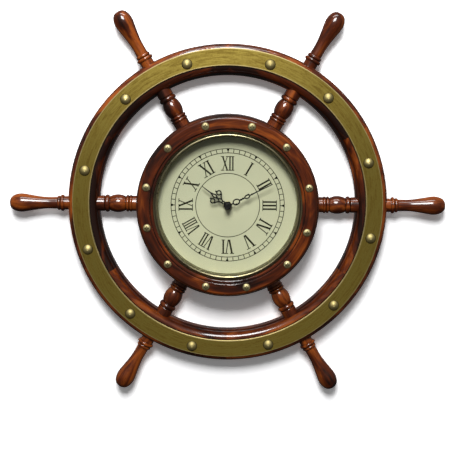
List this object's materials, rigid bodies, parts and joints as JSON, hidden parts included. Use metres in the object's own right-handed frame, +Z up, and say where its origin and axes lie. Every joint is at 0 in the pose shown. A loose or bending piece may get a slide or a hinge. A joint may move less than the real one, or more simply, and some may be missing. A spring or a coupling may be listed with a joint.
{
  "type": "ship's-wheel wall clock",
  "caption": "Wall clock shaped as a ship's wheel: banded wooden rim, turned spokes and handles, brass-bezelled Roman dial, serpentine hands, quartz movement.",
  "frame": {"origin": "the wheel's axis where it meets the wall, on the plane of the hub's flat back", "axes": "+Z up, +X to the viewer's right, +Y into the wall; the dial faces -Y"},
  "size_m": [0.61, 0.0551, 0.532],
  "materials": {
    "wood": "gloss varnish",
    "antique_brass": "tarnished satin",
    "bright_brass": "polished",
    "glass": "clear",
    "dial_card": "printed, matt",
    "black_steel": "black enamel",
    "black_plastic": "satin",
    "white_plastic": "natural moulding",
    "rubber": "matt",
    "zinc_steel": "zinc plated",
    "magnet": "sintered magnet on a plastic pinion",
    "soft_iron": "stamped",
    "copper_wire": "enamelled copper wire",
    "board": "solder mask",
    "battery_can": "plain sleeve"
  },
  "bodies": {
    "clock": {"band_rivets": "bright_brass", "battery": "battery_can", "bezel": "bright_brass", "brass_band": "antique_brass", "chip": "black_plastic", "circuit_board": "board", "coil_bobbin": "white_plastic", "coil_core": "soft_iron", "coil_winding": "copper_wire", "contact_minus": "zinc_steel", "contact_plus": "zinc_steel", "dial": "dial_card", "dial_liner": "bright_brass", "felloe_1": "wood", "felloe_2": "wood", "felloe_3": "wood", "felloe_4": "wood", "felloe_5": "wood", "felloe_6": "wood", "front_ring": "wood", "gasket": "rubber", "glass": "glass", "handle_1": "wood", "handle_2": "wood", "handle_3": "wood", "handle_4": "wood", "handle_5": "wood", "handle_6": "wood", "hanger_plate": "zinc_steel", "hanger_screws": "zinc_steel", "hub_body": "wood", "middle_plate": "white_plastic", "movement_case": "black_plastic", "movement_cover": "black_plastic", "nut": "black_steel", "quartz_crystal": "zinc_steel", "ring_screws": "bright_brass", "spoke_1": "wood", "spoke_2": "wood", "spoke_3": "wood", "spoke_4": "wood", "spoke_5": "wood", "spoke_6": "wood", "stator": "soft_iron", "washer": "black_steel"},
    "minute": {"minute_arbor": "bright_brass", "minute_hand": "black_steel", "hand_cap": "black_plastic"},
    "hour": {"hour_wheel": "bright_brass", "hour_hand": "black_steel"},
    "motion": {"motion_wheel": "white_plastic"},
    "knob": {"setting_knob": "white_plastic"},
    "rotor": {"rotor": "magnet"},
    "intermediate": {"intermediate_wheel": "white_plastic"},
    "seconds": {"seconds_wheel": "white_plastic"},
    "third": {"third_wheel": "white_plastic"},
    "centre": {"centre_wheel": "white_plastic"}
  },
  "joints": [
    {"name": "minute_hand_turn", "type": "hinge", "parent": "clock", "child": "minute", "pos_m": [0, 0, 0], "axis": [0, 1, 0], "continuous": true},
    {"name": "hour_hand_turn", "type": "hinge", "parent": "clock", "child": "hour", "pos_m": [0, 0, 0], "axis": [0, 1, 0], "continuous": true},
    {"name": "motion_wheel_turn", "type": "hinge", "parent": "clock", "child": "motion", "pos_m": [0.00594, 0, 0.00594], "axis": [0, 1, 0], "continuous": true},
    {"name": "setting_knob_turn", "type": "hinge", "parent": "clock", "child": "knob", "pos_m": [0.01188, 0, 0.01188], "axis": [0, 1, 0], "continuous": true},
    {"name": "rotor_turn", "type": "hinge", "parent": "clock", "child": "rotor", "pos_m": [-0.01186, 0, 0.00685], "axis": [0, 1, 0], "continuous": true},
    {"name": "intermediate_wheel_turn", "type": "hinge", "parent": "clock", "child": "intermediate", "pos_m": [-0.00667, 0, 0.00385], "axis": [0, 1, 0], "continuous": true},
    {"name": "seconds_wheel_turn", "type": "hinge", "parent": "clock", "child": "seconds", "pos_m": [0, 0, 0], "axis": [0, 1, 0], "continuous": true},
    {"name": "third_wheel_turn", "type": "hinge", "parent": "clock", "child": "third", "pos_m": [0.009, 0, 0], "axis": [0, 1, 0], "continuous": true},
    {"name": "centre_wheel_turn", "type": "hinge", "parent": "clock", "child": "centre", "pos_m": [0, 0, 0], "axis": [0, 1, 0], "continuous": true}
  ],
  "couplings": [
    {"joint": "hour_hand_turn", "follows": "minute_hand_turn", "ratio": 0.083333},
    {"joint": "motion_wheel_turn", "follows": "minute_hand_turn", "ratio": -0.33333},
    {"joint": "setting_knob_turn", "follows": "minute_hand_turn", "ratio": 1},
    {"joint": "intermediate_wheel_turn", "follows": "rotor_turn", "ratio": -0.2},
    {"joint": "seconds_wheel_turn", "follows": "rotor_turn", "ratio": 0.033333},
    {"joint": "third_wheel_turn", "follows": "rotor_turn", "ratio": -0.0044444},
    {"joint": "centre_wheel_turn", "follows": "rotor_turn", "ratio": 0.00055556}
  ]
}
